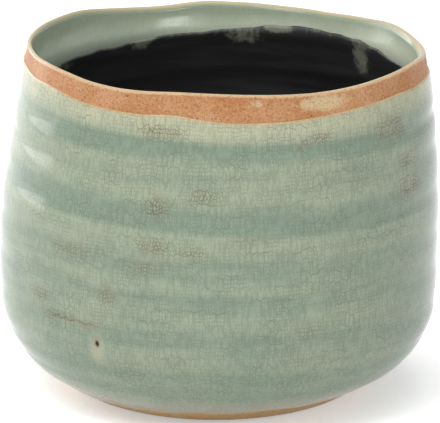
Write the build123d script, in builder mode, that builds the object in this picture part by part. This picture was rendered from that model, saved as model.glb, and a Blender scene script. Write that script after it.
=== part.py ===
"""Hand-thrown stoneware cachepot: a clay body, a glaze outside, a glaze inside and a
sealing coat over the lower inside. Millimetres, +Z up, standing on z = 0."""

import os
from math import atan2, cos, degrees, hypot, radians

from build123d import *

# Outline of the bare clay wall, from the foot up to the mouth
FOOT_RADIUS = 47.5
LOW_HEEL_RADIUS = 64.0
LOW_HEEL_HEIGHT = 8.5
HEEL_RADIUS = 78.4
HEEL_HEIGHT = 21.5
BELLY_RADIUS = 84.2
BELLY_HEIGHT = 42.0
FLANK_RADIUS = 84.1
FLANK_HEIGHT = 74.0
SHOULDER_RADIUS = 80.6
SHOULDER_HEIGHT = 106.0
MOUTH_RADIUS = 76.2
RIM_HEIGHT = 136.2  # mean height of the uneven rim

# Wall, floor, lip and foot ring
FOOT_WALL = 7.0
LIP_WALL = 4.4
FLOOR_THICKNESS = 8.0
FLOOR_CURVE = 14.0
LIP_ROUND = 1.7
FOOT_RING_WIDTH = 9.0
FOOT_RECESS = 2.0
FOOT_EDGE = 0.8

# Throwing rings, and the lean of a pot that was thrown a little out of true
RINGS = 9
RING_DEPTH = 0.9
LEAN = 1.2  # degrees towards +X
LEAN_HEIGHT = 58.0  # where the leaning axis crosses the upright one

# Coats and where they end
GLAZE = 0.6
LINING = 0.5
BARE_BAND = 10.4  # bare clay below the rim
INNER_EDGE = 2.6  # the inner glaze starts this far below the rim
LINING_DROP = 12.0  # the lining starts this far below the rim
GLAZE_FOOT = 7.0  # the outer glaze stops this far above the table

# Unevenness of each edge: waves round the pot, their rise, and the angle of a peak
RIM_WAVES = ((2, 0.8, 0), (3, 0.4, 65), (5, 0.4, 50))
BAND_WAVES = ((3, 0.5, 100), (5, 0.3, 20))
LINING_WAVES = ((2, 1.6, 60), (3, 0.8, 20), (5, 1.1, 75))
FOOT_WAVES = ((2, 0.8, 120), (3, 0.6, 40))
SHEET_STEPS = 24  # squares along each side of a trimming sheet

# How far the untrimmed wall and the trimming sheets run past the finished form
TRIM_ROOM = 8.0

# The pot's own axis, which leans, and the plane that its outline is drawn in
pot = Plane.XY.rotated((0, LEAN, 0))
pot.origin = Vector(0, 0, LEAN_HEIGHT) - pot.z_dir * LEAN_HEIGHT
pot_axis = Axis(pot.origin, pot.z_dir)
outline_plane = Plane(pot.origin, x_dir=pot.x_dir, z_dir=-pot.y_dir)

# Wall line: the thrown curve before the rings
outline = (
    (FOOT_RADIUS, 0),
    (LOW_HEEL_RADIUS, LOW_HEEL_HEIGHT),
    (HEEL_RADIUS, HEEL_HEIGHT),
    (BELLY_RADIUS, BELLY_HEIGHT),
    (FLANK_RADIUS, FLANK_HEIGHT),
    (SHOULDER_RADIUS, SHOULDER_HEIGHT),
    (MOUTH_RADIUS, RIM_HEIGHT),
)
thrown_curve = Spline(*outline)


def wall_points(coat, inside):
    """Crests and grooves up the outside or the inside of the wall, with a coat on it."""
    last = 2 * RINGS + 1
    points = []
    for step in range(last + 1):
        share = step / last
        along = thrown_curve % share
        wall = FOOT_WALL + (LIP_WALL - FOOT_WALL) * share
        ring = RING_DEPTH / 2 * share * (-1) ** step
        shift = ring - wall - coat if inside else ring + coat
        points.append(thrown_curve @ share + Vector(along.Y, -along.X) * shift)
    return points


def thrown_form(coat=0, inside=False):
    """Outside of the pot, or its hollow, as a solid that still runs past rim and table."""
    points = wall_points(coat, inside)
    low = points[0] - thrown_curve % 0 * TRIM_ROOM
    high = points[-1] + thrown_curve % 1 * TRIM_ROOM
    with BuildPart() as form:
        with BuildSketch(outline_plane):
            with BuildLine():
                Spline(low, *points, high)
                Polyline(high, (0, high.Y), (0, low.Y), low)
            make_face()
        revolve(axis=pot_axis)
        if inside:
            split(bisect_by=Plane.XY.offset(FLOOR_THICKNESS + coat), keep=Keep.TOP)
            fillet(faces().sort_by(Axis.Z)[0].edges(), FLOOR_CURVE - coat)
    return form.part


def wavy_sheet(height, waves):
    """Sheet across the pot that rises and falls in waves round the axis, to trim along."""
    reach = max(radius for radius, height in outline) + TRIM_ROOM
    steps = [reach * (2 * step / SHEET_STEPS - 1) for step in range(SHEET_STEPS + 1)]
    rows = []
    for x in steps:
        row = []
        for y in steps:
            share = hypot(x, y) / MOUTH_RADIUS
            angle = degrees(atan2(y, x))
            rise = 0
            for count, size, peak in waves:
                rise += size * share**count * cos(radians(count * (angle - peak)))
            row.append(pot.from_local_coords((x, y, height + rise)))
        rows.append(row)
    return Face.make_surface_from_array_of_points(rows, min_deg=3)


outside = thrown_form()
hollow = thrown_form(inside=True)
glazed_hollow = thrown_form(GLAZE, inside=True)
lined_hollow = thrown_form(GLAZE + LINING, inside=True)

# Clay body: thrown wall with its uneven rounded rim, and a trimmed foot ring under it
with BuildPart() as clay_body:
    add(outside)
    add(hollow, mode=Mode.SUBTRACT)
    split(bisect_by=wavy_sheet(RIM_HEIGHT, RIM_WAVES), keep=Keep.BOTTOM)
    fillet(faces().sort_by(Axis.Z)[-1].edges(), LIP_ROUND)
    split(bisect_by=Plane.XY, keep=Keep.TOP)
    with BuildSketch(Plane((pot.origin.X, pot.origin.Y, 0))):
        Circle(FOOT_RADIUS - FOOT_RING_WIDTH)
    extrude(amount=FOOT_RECESS, mode=Mode.SUBTRACT)
    fillet(faces().sort_by(Axis.Z)[0].edges(), FOOT_EDGE)

# Outer glaze: from under the bare band down to the line where it stopped above the foot
with BuildPart() as outer_glaze:
    add(thrown_form(GLAZE))
    add(outside, mode=Mode.SUBTRACT)
    split(bisect_by=wavy_sheet(RIM_HEIGHT - BARE_BAND, RIM_WAVES + BAND_WAVES), keep=Keep.BOTTOM)
    split(bisect_by=wavy_sheet(GLAZE_FOOT, FOOT_WAVES), keep=Keep.TOP)

# Inner glaze: over the whole inside, up to the rounding of the lip
with BuildPart() as inner_glaze:
    add(hollow)
    add(glazed_hollow, mode=Mode.SUBTRACT)
    split(bisect_by=wavy_sheet(RIM_HEIGHT - INNER_EDGE, RIM_WAVES), keep=Keep.BOTTOM)

# Waterproof lining: brushed over the inner glaze, with an uneven edge below the rim
with BuildPart() as waterproof_lining:
    add(glazed_hollow)
    add(lined_hollow, mode=Mode.SUBTRACT)
    split(bisect_by=wavy_sheet(RIM_HEIGHT - LINING_DROP, LINING_WAVES), keep=Keep.BOTTOM)

pieces = {
    "clay_body": clay_body,
    "outer_glaze": outer_glaze,
    "inner_glaze": inner_glaze,
    "waterproof_lining": waterproof_lining,
}
os.makedirs("parts", exist_ok=True)
for name, piece in pieces.items():
    piece.part.label = name
    export_step(piece.part, f"parts/{name}.step")
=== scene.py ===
"""Looks of a hand-thrown stoneware cachepot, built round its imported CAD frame.

Clay, outer glaze, inner glaze and sealing coat are each turned as a closed shell from one
thrown form, so that all four share its rings, its lean and its uneven rim. The form's sizes
are in millimetres. A turn is in radians from the front, to the right, and a mark's or a
wave's own turn is in degrees. A height is above the table.
"""

import logging
import math
from dataclasses import dataclass, field, replace
from enum import Enum

import bpy
import numpy as np
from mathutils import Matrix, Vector


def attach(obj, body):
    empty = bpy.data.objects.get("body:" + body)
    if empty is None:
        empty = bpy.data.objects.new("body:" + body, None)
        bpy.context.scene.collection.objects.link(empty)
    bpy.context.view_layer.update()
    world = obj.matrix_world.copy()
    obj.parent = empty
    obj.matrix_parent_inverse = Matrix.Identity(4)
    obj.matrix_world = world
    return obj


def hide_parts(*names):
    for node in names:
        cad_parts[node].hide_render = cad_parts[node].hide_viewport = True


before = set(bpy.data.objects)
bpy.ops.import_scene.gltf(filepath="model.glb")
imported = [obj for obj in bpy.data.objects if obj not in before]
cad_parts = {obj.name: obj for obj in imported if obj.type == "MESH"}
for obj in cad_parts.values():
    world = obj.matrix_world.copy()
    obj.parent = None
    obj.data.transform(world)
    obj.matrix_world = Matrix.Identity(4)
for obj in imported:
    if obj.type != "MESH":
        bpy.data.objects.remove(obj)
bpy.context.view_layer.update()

MM = 0.001
FULL_TURN = 2 * math.pi
WHITE = (1.0, 1.0, 1.0, 1.0)
WRAP = "wrap"
WRAP_RADIUS = 80.0
log = logging.getLogger("cachepot")

Socket = bpy.types.NodeSocket
Feed = Socket | float | tuple[float, ...] | Vector


class Slot(Enum):
    """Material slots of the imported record."""

    CLAY = "fired_clay"
    GLAZE = "crackle_glaze"
    LINING = "black_lining"


class LampShape(Enum):
    """Outlines that a lamp can have."""

    SQUARE = "RECTANGLE"
    ROUND = "ELLIPSE"


class Mask(Enum):
    """Values that the shells carry on their vertices for their finishes."""

    # Pooled glaze, with painted shade and a painted reflection mixed in on the flanks.
    POOL_AND_PAINTED_LIGHT = "pool"
    THIN = "thin"
    # Near the foot: painted bounce light from the floor, and on the glaze also its beige tint.
    FOOT_AND_BOUNCE = "foot"
    STAIN = "stain"
    SMEAR = "smear"


def tint(code: str) -> tuple[float, float, float, float]:
    """Linear colour, with an opaque alpha, of six hexadecimal digits as seen on screen."""
    parts = [int(code[at : at + 2], 16) / 255 for at in (0, 2, 4)]
    return (*[p / 12.92 if p <= 0.04045 else ((p + 0.055) / 1.055) ** 2.4 for p in parts], 1.0)


def eased(value: np.ndarray, low: float, high: float) -> np.ndarray:
    """Smooth step at each value, from 0 at low to 1 at high."""
    share = np.clip((value - low) / (high - low), 0, 1)
    return share * share * (3 - 2 * share)


@dataclass(frozen=True)
class Curve:
    """Smooth curve through a few measured points.

    Args:
        points: pairs of place and value, with places rising.
    """

    points: tuple[tuple[float, float], ...]

    def at(self, place: np.ndarray) -> np.ndarray:
        """Reads the curve.

        Args:
            place: where it is read.

        Returns:
            The curve's value at each place.
        """
        places, values = np.array(self.points, float).T
        slopes = np.gradient(values, places)
        left = np.clip(np.searchsorted(places, place) - 1, 0, len(places) - 2)
        gap = places[left + 1] - places[left]
        t = (place - places[left]) / gap
        rise = (1 + 2 * t) * (1 - t) ** 2 * values[left] + t**2 * (3 - 2 * t) * values[left + 1]
        return rise + t * (1 - t) * gap * ((1 - t) * slopes[left] - t * slopes[left + 1])


@dataclass(frozen=True)
class Wave:
    """One regular unevenness round the pot.

    Args:
        count: waves in a full turn.
        rise: height of a crest.
        peak: degrees at which a crest lies.
    """

    count: int
    rise: float
    peak: float

    def at(self, turn: np.ndarray) -> np.ndarray:
        """Rise at each turn."""
        return self.rise * np.cos(self.count * (turn - math.radians(self.peak)))


@dataclass(frozen=True)
class Ragged:
    """Irregular edge, as a brush or a dip in glaze leaves it.

    Args:
        size: typical rise.
        coarsest: waves in a turn of the largest wobble.
        finest: waves in a turn of the smallest wobble.
        seed: fixes the shape.
    """

    size: float
    coarsest: int
    finest: int
    seed: int

    def at(self, turn: np.ndarray) -> np.ndarray:
        """Reads the edge.

        Args:
            turn: where it is read.

        Returns:
            Rise at each turn.
        """
        dice = np.random.default_rng(self.seed)
        total = np.zeros_like(turn)
        for count in range(self.coarsest, self.finest + 1):
            share = self.size * math.sqrt(self.coarsest / count**2)
            total += share * np.cos(count * turn + dice.uniform(0, FULL_TURN))
        return total


@dataclass(frozen=True)
class Patch:
    """Soft-edged mark on a wall.

    Args:
        turn: degrees at which its middle lies.
        height: of its middle.
        width: reach sideways in degrees.
        tall: reach up and down.
        strength: 1 for a full mark.
    """

    turn: float
    height: float
    width: float
    tall: float
    strength: float = 1.0

    def at(self, turn: np.ndarray, height: np.ndarray) -> np.ndarray:
        """Reads how strong the mark is.

        Args:
            turn: where it is read, round the pot.
            height: where it is read, up the wall.

        Returns:
            Strength, which fades to 0 away from the middle.
        """
        aside = (np.degrees(turn) - self.turn + 180) % 360 - 180
        reach = (aside / self.width) ** 2 + ((height - self.height) / self.tall) ** 2
        return self.strength * np.exp(-(reach**1.5))


def marks(patches: tuple[Patch, ...], turn: np.ndarray, height: np.ndarray) -> np.ndarray:
    """Strength of several marks together, 1 at most."""
    return np.clip(sum(patch.at(turn, height) for patch in patches), 0, 1)


@dataclass(frozen=True)
class Pool:
    """Glaze that has run together along a groove.

    Args:
        height: of its middle at the front.
        above: how far up it fades out.
        below: how far down it fades out.
        strength: 1 for a deep pool.
    """

    height: float
    above: float
    below: float
    strength: float

    def at(self, height: np.ndarray) -> np.ndarray:
        """Reads the pool.

        Args:
            height: where it is read, as at the front.

        Returns:
            Share from 0 to the pool's strength.
        """
        off = height - self.height
        reach = np.where(off > 0, off / self.above, -off / self.below)
        return self.strength * (1 - eased(reach, 0.3, 1.0))


@dataclass(frozen=True)
class ThrownForm:
    """Form that the potter threw: wall, hollow, spiral rings, lean and rim.

    Args:
        outside: height against radius of the bare outside.
        inside: height against radius of the bare hollow above the bowl of the floor.
        bowl: radius and height from the middle of the floor to the foot of the wall.
        grooves: height at the front against turns of the spiral, counted from below.
        depths: depth of the groove at each whole turn of the spiral, from turn -1 up.
        painted_reflections: where the pools are lightened, a painted reflection of the lamp on the left.
        pools: glaze that has run together in the grooves.
        low_pool: share of pooled glaze that the low wall has all over.
        lean: height against how far the pot leans to the right there.
        rim_height: mean height of the lip.
        rim_waves: unevenness of the lip.
        rim_dents: dips and humps in the lip, with their rise as strength.
        oval: how much wider than its mean the mouth is from side to side.
        lip_tall: height of the rounding of the lip.
        lip_square: power of its section, 1 for a round one and less for a squarer one.
        slope_step: height over which the slope of the hollow is read.
    """

    outside: Curve = Curve(
        (
            (0.0, 47.0), (2.1, 53.0), (5.3, 58.7), (8.5, 63.7), (12.8, 70.6), (17.0, 75.0),
            (21.5, 78.1), (31.9, 82.7), (42.0, 83.9), (58.0, 84.2), (74.0, 84.0), (95.0, 82.1),
            (116.0, 79.2), (127.5, 77.4), (140.0, 75.4),
        )
    )
    inside: Curve = Curve(
        (
            (27.5, 74.4), (33.5, 76.5), (42.0, 77.7), (52.0, 78.4), (62.0, 78.7), (74.0, 78.2),
            (90.0, 76.9), (106.0, 75.0), (116.0, 72.9), (120.0, 72.2), (124.0, 71.6), (126.5, 71.85),
            (129.0, 72.6), (131.5, 73.3), (134.0, 73.8), (140.0, 74.9),
        )
    )
    bowl: tuple[tuple[float, float], ...] = (
        (0.0, 8.0), (16.0, 8.0), (32.0, 8.0), (42.0, 8.0), (46.5, 8.1), (51.0, 8.9), (56.0, 11.2),
        (61.0, 14.2), (66.0, 17.7), (70.5, 21.8), (73.0, 25.2), (74.4, 27.5),
    )
    grooves: Curve = Curve(
        (
            (-2.0, -1.0), (8.5, 0.0), (18.8, 1.0), (27.0, 2.0), (41.0, 3.0), (56.5, 4.0), (70.0, 5.0),
            (87.0, 6.0), (103.5, 7.0), (115.3, 8.0), (139.0, 9.0), (160.0, 10.0),
        )
    )
    depths: tuple[float, ...] = (0.0, 0.1, 0.3, 0.3, 0.35, 0.35, 0.45, 0.65, 0.4, 0.55, 0.5, 0.5)
    # Painted reflection on the left, lightening the pools there.
    painted_reflections: tuple[Patch, ...] = (Patch(-72, 117.0, 16.0, 7.0, 0.6),)
    pools: tuple[Pool, ...] = (
        Pool(11.0, 3.0, 4.0, 0.2),
        Pool(18.8, 4.0, 3.5, 0.38),
        Pool(26.5, 4.0, 5.0, 0.4),
        Pool(41.0, 6.0, 5.0, 0.4),
        Pool(56.5, 6.0, 6.0, 0.4),
        Pool(69.5, 7.0, 5.5, 0.55),
        Pool(86.5, 12.0, 4.5, 0.9),
        Pool(103.5, 6.0, 6.0, 0.3),
        Pool(115.6, 4.2, 7.5, 1.0),
    )
    low_pool: float = 0.36
    lean: Curve = Curve(
        (
            (0.0, -1.7), (6.0, -1.5), (18.0, -0.4), (28.0, -0.4), (45.0, -0.65), (74.0, 0.05),
            (106.0, 1.8), (138.0, 2.5),
        )
    )
    rim_height: float = 136.2
    rim_waves: tuple[Wave, ...] = (
        Wave(1, 1.15, -100),
        Wave(2, 0.9, 82),
        Wave(3, 0.43, -7),
        Wave(5, 0.5, -8),
    )
    rim_dents: tuple[Patch, ...] = (
        Patch(-28, 0, 10, 1, -0.5),
        Patch(-57, 0, 11, 1, 0.9),
        Patch(-118, 0, 15, 1, 0.5),
        Patch(-137, 0, 12, 1, 0.5),
        Patch(-152, 0, 17, 1, -1.85),
        Patch(179.5, 0, 16, 1, 1.1),
        Patch(139, 0, 15, 1, -1.4),
        Patch(97, 0, 19, 1, -1.5),
    )
    oval: float = 0.7
    lip_tall: float = 1.9
    lip_square: float = 0.8
    slope_step: float = 0.4

    def spiral(self, turn: np.ndarray, height: np.ndarray) -> np.ndarray:
        """Turns of the spiral below a place: a whole number in a groove, a half on a crest."""
        return self.grooves.at(height) + turn / FULL_TURN

    def ring(self, turn: np.ndarray, height: np.ndarray) -> np.ndarray:
        """How far the wall stands out of, or lies within, the plain curve.

        Args:
            turn: round the pot.
            height: up the wall.

        Returns:
            Distance outwards.
        """
        place = self.spiral(turn, height) * FULL_TURN
        depth = np.interp(self.grooves.at(height), np.arange(len(self.depths)) - 1, self.depths)
        wobble = 1 + 0.25 * np.cos(2 * turn + 0.09 * height) + 0.15 * np.cos(5 * turn - 0.07 * height)
        return -depth * wobble * (0.42 * np.cos(place) + 0.1 * np.cos(2 * place))

    def pool(self, turn: np.ndarray, height: np.ndarray) -> np.ndarray:
        """How much glaze has run together. Behind the pot, two turns of the spiral cross-fade.

        Args:
            turn: round the pot.
            height: up the wall.

        Returns:
            Share from 0 on a crest to 1 in a deep pool.
        """
        place = self.spiral(turn, height)
        behind = 0.5 * eased(np.abs(turn), math.pi - 1.2, math.pi)
        share = (1 - behind) * self._pooled(place) + behind * self._pooled(place - np.sign(turn))
        # Painted reflection: the pools fade where the left lamp would be mirrored.
        share = share * (1 - marks(self.painted_reflections, turn, height))
        low = self.low_pool * (1 - eased(height, 40.0, 104.0))
        return low + (1 - low) * share * (0.88 + 0.16 * np.cos(turn + 0.9))

    def _pooled(self, place: np.ndarray) -> np.ndarray:
        """Deepest pool at a place across the rings.

        Args:
            place: turns of the spiral below it.

        Returns:
            Share from 0 to 1.
        """
        heights = np.linspace(-2.0, 160.0, 600)
        level = np.interp(place, self.grooves.at(heights), heights)
        return np.max([pool.at(level) for pool in self.pools], axis=0)

    def rim(self, turn: np.ndarray) -> np.ndarray:
        """Height of the lip at each turn."""
        waves = sum(wave.at(turn) for wave in self.rim_waves)
        return self.rim_height + waves + sum(dent.at(turn, 0.0) for dent in self.rim_dents)

    def squeeze(self, turn: np.ndarray, height: np.ndarray) -> np.ndarray:
        """How far outwards the upper wall has been pushed out of round."""
        return -self.oval * np.cos(2 * turn) * eased(height, 100.0, 138.0)

    def wall(self, turn: np.ndarray, height: np.ndarray) -> np.ndarray:
        """Radius of the bare outside, from the pot's own axis."""
        return self.outside.at(height) + self.squeeze(turn, height) + self.ring(turn, height)

    def hollow(self, turn: np.ndarray, height: np.ndarray) -> np.ndarray:
        """Radius of the bare inside above the bowl of the floor, from the pot's own axis."""
        ring = self.ring(turn, height) * eased(height, 27.5, 45.0)
        return self.inside.at(height) + self.squeeze(turn, height) + ring

    def lip(
        self, turn: np.ndarray, bend: np.ndarray, coat: np.ndarray | float = 0.0
    ) -> tuple[np.ndarray, np.ndarray]:
        """Section of the rounded lip.

        Args:
            turn: at which the section is read.
            bend: radians over the lip, from 0 outside to half a turn inside.
            coat: thickness of what lies on it.

        Returns:
            Radii and heights, one row for each turn.
        """
        turn = turn[:, None]
        low = self.rim(turn) - self.lip_tall
        outer = self.wall(turn, low)
        half = (outer - self.hollow(turn, low)) / 2
        over, up = np.cos(bend), np.sin(bend)
        rise = self.lip_tall * np.abs(up) ** self.lip_square
        step = self.slope_step / 2
        slope = (self.hollow(turn, low + step) - self.hollow(turn, low - step)) / self.slope_step
        flare = slope * rise * np.clip(-over, 0, 1)
        across = half * np.sign(over) * np.abs(over) ** self.lip_square
        return outer - half + across + flare + coat * over, low + rise + coat * up

    def floor(self, coat: float) -> tuple[np.ndarray, np.ndarray]:
        """Section of the bowl of the floor, from the middle out to the wall.

        Args:
            coat: thickness of what lies on it.

        Returns:
            Radii and heights.
        """
        radius, height = np.array(self.bowl).T
        along, up = np.gradient(radius), np.gradient(height)
        length = np.hypot(along, up)
        inwards = radius - coat * up / length
        inwards[0] = 0.0
        return inwards, height + coat * along / length

    def place(self, turn: np.ndarray, radius: np.ndarray, height: np.ndarray) -> np.ndarray:
        """Points in the shared frame, in metres."""
        side = radius * np.sin(turn) + self.lean.at(height)
        return np.stack([side, -radius * np.cos(turn), height], axis=-1) * MM


@dataclass
class Shell:
    """Closed skin turned from one section, which may change as it goes round.

    Args:
        name: of the mesh object.
        form: form that the section belongs to.
        turns: at which the section is read.
        radii: stretches of the section, each one row for each turn.
        heights: heights of these stretches.
        masks: values for the finish, one for each point of the section and turn.
    """

    name: str
    form: ThrownForm
    turns: np.ndarray
    radii: list[np.ndarray] = field(default_factory=list)
    heights: list[np.ndarray] = field(default_factory=list)
    masks: dict[Mask, np.ndarray] = field(default_factory=dict)

    def add(self, radius: np.ndarray, height: np.ndarray) -> None:
        """Adds a stretch to the section.

        Args:
            radius: one row, or one row for each turn.
            height: one row, or one row for each turn.
        """
        shape = (len(self.turns), np.shape(radius)[-1])
        self.radii.append(np.broadcast_to(radius, shape))
        self.heights.append(np.broadcast_to(height, shape))

    def grid(self) -> tuple[np.ndarray, np.ndarray, np.ndarray]:
        """Turns, radii and heights of the whole section, each one row for each turn."""
        radius, height = np.concatenate(self.radii, axis=1), np.concatenate(self.heights, axis=1)
        return np.broadcast_to(self.turns[:, None], radius.shape), radius, height

    def build(self) -> bpy.types.Object:
        """Makes the mesh. A section that starts and ends on the axis is closed there by a point.

        Returns:
            The new object, smooth, with its masks on its vertices.
        """
        turn, radius, height = self.grid()
        points = self.form.place(turn, radius, height).reshape(-1, 3)
        count, rows = radius.shape
        poles = bool(radius[0, 0] == 0.0)
        order = np.arange(count * rows).reshape(count, rows)
        order = order[:, 1:-1].ravel() if poles else order.ravel()
        index = np.arange(len(order)).reshape(count, -1)
        faces, shares = self._sides(index, closed=not poles)
        if poles:
            order = np.concatenate([order, [0, rows - 1]])
            caps, cap_shares = self._caps(index)
            faces, shares = faces + caps, np.concatenate([shares, cap_shares])
        mesh = bpy.data.meshes.new(self.name)
        mesh.from_pydata(points[order].tolist(), [], faces)
        for mask, values in self.masks.items():
            layer = mesh.attributes.new(mask.value, "FLOAT", "POINT")
            layer.data.foreach_set("value", values.ravel()[order].astype(np.float32))
        self._wrap(mesh, shares / count)
        mesh.shade_smooth()
        piece = bpy.data.objects.new(self.name, mesh)
        bpy.context.scene.collection.objects.link(piece)
        log.info("%s: %d faces", self.name, len(mesh.polygons))
        return piece

    @staticmethod
    def _sides(index: np.ndarray, closed: bool) -> tuple[list[list[int]], np.ndarray]:
        """Faces between neighbouring sections.

        Args:
            index: number of each vertex, one row for each turn.
            closed: whether a section runs back into its own start.

        Returns:
            The faces, and for each face corner the number of its section.
        """
        beside = np.roll(index, -1, axis=0)
        up, up_beside = np.roll(index, -1, axis=1), np.roll(beside, -1, axis=1)
        quads = np.stack([index, beside, up_beside, up], axis=-1)
        if not closed:
            quads = quads[:, :-1]
        steps = np.arange(len(index))[:, None, None] + np.array([0.0, 1.0, 1.0, 0.0])
        return quads.reshape(-1, 4).tolist(), np.broadcast_to(steps, quads.shape).ravel()

    @staticmethod
    def _caps(index: np.ndarray) -> tuple[list[list[int]], np.ndarray]:
        """Faces round the two points on the axis, which follow the other vertices.

        Args:
            index: number of each other vertex, one row for each turn.

        Returns:
            The faces, and for each face corner the number of its section.
        """
        beside = np.roll(index, -1, axis=0)
        first, last = (np.full(len(index), index.size + end) for end in (0, 1))
        low = np.stack([beside[:, 0], index[:, 0], first], axis=-1)
        high = np.stack([index[:, -1], beside[:, -1], last], axis=-1)
        steps = np.arange(len(index))[:, None]
        shares = np.concatenate([steps + np.array([1, 0, 0.5]), steps + np.array([0, 1, 0.5])])
        return np.concatenate([low, high]).tolist(), shares.ravel()

    @staticmethod
    def _wrap(mesh: bpy.types.Mesh, share: np.ndarray) -> None:
        """Notes at each face corner where it lies on the unrolled wall.

        Args:
            mesh: the skin.
            share: of a full turn, for each face corner.
        """
        points = np.zeros(len(mesh.vertices) * 3)
        mesh.vertices.foreach_get("co", points)
        owner = np.zeros(len(mesh.loops), dtype=np.int32)
        mesh.loops.foreach_get("vertex_index", owner)
        unrolled = np.zeros((len(owner), 3))
        unrolled[:, 0] = (share - 0.5) * FULL_TURN * WRAP_RADIUS * MM
        unrolled[:, 1] = points.reshape(-1, 3)[owner, 2]
        mesh.attributes.new(WRAP, "FLOAT_VECTOR", "CORNER").data.foreach_set("vector", unrolled.ravel())


class Graph:
    """Node tree that is being filled in, with short calls for the nodes that finishes use."""

    def __init__(self, tree: bpy.types.NodeTree) -> None:
        """Takes the tree of a material, a world or a node group."""
        self.tree = tree

    def feed(self, socket: Socket, value: Feed) -> None:
        """Links a socket to an input, or sets the input.

        Args:
            socket: input socket.
            value: output socket, number, vector or colour.
        """
        if isinstance(value, Socket):
            self.tree.links.new(value, socket)
        else:
            socket.default_value = value

    def node(
        self, kind: str, inputs: dict[str | int, Feed] | None = None, **settings: object
    ) -> bpy.types.Node:
        """Adds a node.

        Args:
            kind: node type without its usual beginning.
            inputs: values or sockets for its inputs, by name or number.
            settings: its other properties.

        Returns:
            The new node.
        """
        made = self.tree.nodes.new("ShaderNode" + kind)
        for key, value in settings.items():
            setattr(made, key, value)
        for key, value in (inputs or {}).items():
            self.feed(made.inputs[key], value)
        return made

    def math(self, operation: str, *values: Feed) -> Socket:
        """Adds arithmetic on numbers."""
        return self.node("Math", dict(enumerate(values)), operation=operation).outputs[0]

    def vector(self, operation: str, first: Feed, second: Feed) -> Socket:
        """Adds arithmetic on two vectors."""
        return self.node("VectorMath", {0: first, 1: second}, operation=operation).outputs[0]

    def length(self, vector: Feed) -> Socket:
        """Adds the length of a vector."""
        return self.node("VectorMath", {0: vector}, operation="LENGTH").outputs["Value"]

    def spread(self, value: Feed, low: float, high: float, start: float = 0.0, end: float = 1.0) -> Socket:
        """Adds a smooth, limited change of range, from start at low to end at high."""
        inputs = {"Value": value, "From Min": low, "From Max": high, "To Min": start, "To Max": end}
        return self.node("MapRange", inputs, interpolation_type="SMOOTHSTEP").outputs["Result"]

    def blend(self, share: Feed, first: Feed, second: Feed) -> Socket:
        """Adds a mix of two colours, with a share of the second."""
        return self.node("Mix", {0: share, 6: first, 7: second}, data_type="RGBA").outputs[2]

    def noise(self, vector: Feed, size: float, detail: float = 3.0, stretch: Vector | None = None) -> Socket:
        """Adds soft noise.

        Args:
            vector: place, in metres.
            size: of its features, in millimetres.
            detail: octaves.
            stretch: how many times closer the features lie along each axis.

        Returns:
            The noise value.
        """
        if stretch is not None:
            vector = self.vector("MULTIPLY", vector, stretch)
        inputs = {"Vector": vector, "Scale": 1 / (size * MM), "Detail": detail, "Roughness": 0.55}
        return self.node("TexNoise", inputs).outputs[0]

    def mask(self, mask: Mask) -> Socket:
        """Adds a reading of a mask on the vertices."""
        return self.node("Attribute", attribute_name=mask.value).outputs["Fac"]

    def wrapped(self) -> Socket:
        """Adds the place on the unrolled wall, in metres."""
        return self.node("Attribute", attribute_name=WRAP).outputs["Vector"]

    def place(self) -> Socket:
        """Adds the place on the piece, in metres."""
        return self.node("TexCoord").outputs["Object"]

    def looked_at(self) -> Socket:
        """Adds a reading of whether the camera, a reflection or a clear piece shows this.

        Returns:
            1 where it is shown and 0 where it only sheds light.
        """
        path = self.node("LightPath").outputs
        mirrored = self.math("MAXIMUM", path["Is Glossy Ray"], path["Is Transmission Ray"])
        return self.math("MAXIMUM", path["Is Camera Ray"], mirrored)


@dataclass(frozen=True)
class CrackNet:
    """Net of cracks of one size.

    Args:
        cell: width of the pieces between the cracks.
        squash: share at which heights are read; below 1 the pieces stand tall.
        width: of a crack, as a share of a piece.
        patches: size of the areas in which the cracks are plain.
        detail: octaves of these areas.
        fading: noise at which the cracks are faintest and plainest.
        faintest: how plain they are at their faintest.
    """

    cell: float
    squash: float
    width: float
    patches: float
    detail: float
    fading: tuple[float, float]
    faintest: float

    def lines(self, graph: Graph, place: Socket, bent: Socket) -> Socket:
        """Adds the net.

        Args:
            graph: of the effect.
            place: on the unrolled wall.
            bent: the same place, led astray so that no crack is straight.

        Returns:
            1 in a crack, and less where the cracks fade.
        """
        cell = graph.vector("MULTIPLY", bent, (1.0, self.squash, 1.0))
        inputs = {"Vector": cell, "Scale": 1 / (self.cell * MM), "Randomness": 0.62}
        pieces = graph.node("TexVoronoi", inputs, feature="DISTANCE_TO_EDGE", voronoi_dimensions="2D")
        line = graph.spread(pieces.outputs["Distance"], self.width * 0.3, self.width * 1.5, 1.0, 0.0)
        plain = graph.spread(graph.noise(place, self.patches, self.detail), *self.fading, self.faintest, 1.0)
        return graph.math("MULTIPLY", line, plain)


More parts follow.
